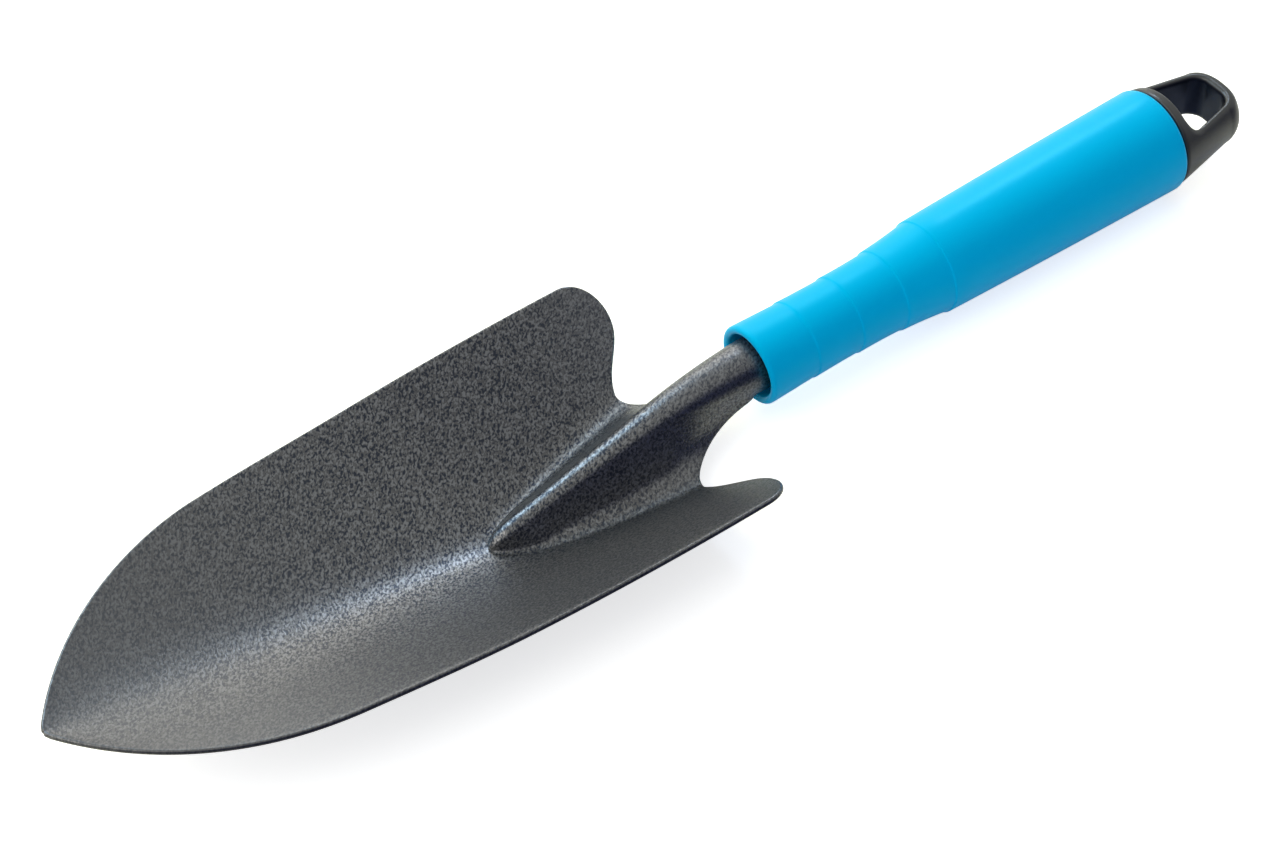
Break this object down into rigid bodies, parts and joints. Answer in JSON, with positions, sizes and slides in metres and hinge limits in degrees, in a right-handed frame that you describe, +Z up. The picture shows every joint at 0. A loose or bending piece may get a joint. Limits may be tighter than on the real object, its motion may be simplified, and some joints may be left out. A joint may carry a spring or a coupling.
{
  "type": "planting trowel",
  "caption": "Hand trowel with a pointed, trough-shaped pressed steel blade, a rolled tang and a round tapered handle that ends in a hanging loop.",
  "frame": {"origin": "under the middle of the trowel's length, on the surface that it lies on, hollow side up", "axes": "+X along the handle towards the hanging loop, -X towards the blade's tip, +Z up out of the blade's hollow"},
  "size_m": [0.3254, 0.0804, 0.0268],
  "materials": {
    "hammered_grey_paint": "hammered enamel",
    "cyan_plastic": "smooth moulded",
    "dark_grey_plastic": "satin moulded",
    "zinc_plated_steel": "zinc plated"
  },
  "bodies": {
    "root": {"blade": "hammered_grey_paint", "handle": "cyan_plastic", "end_cap": "dark_grey_plastic", "tang_plug": "zinc_plated_steel", "screw_washer": "zinc_plated_steel", "retaining_screw": "zinc_plated_steel"}
  },
  "joints": []
}
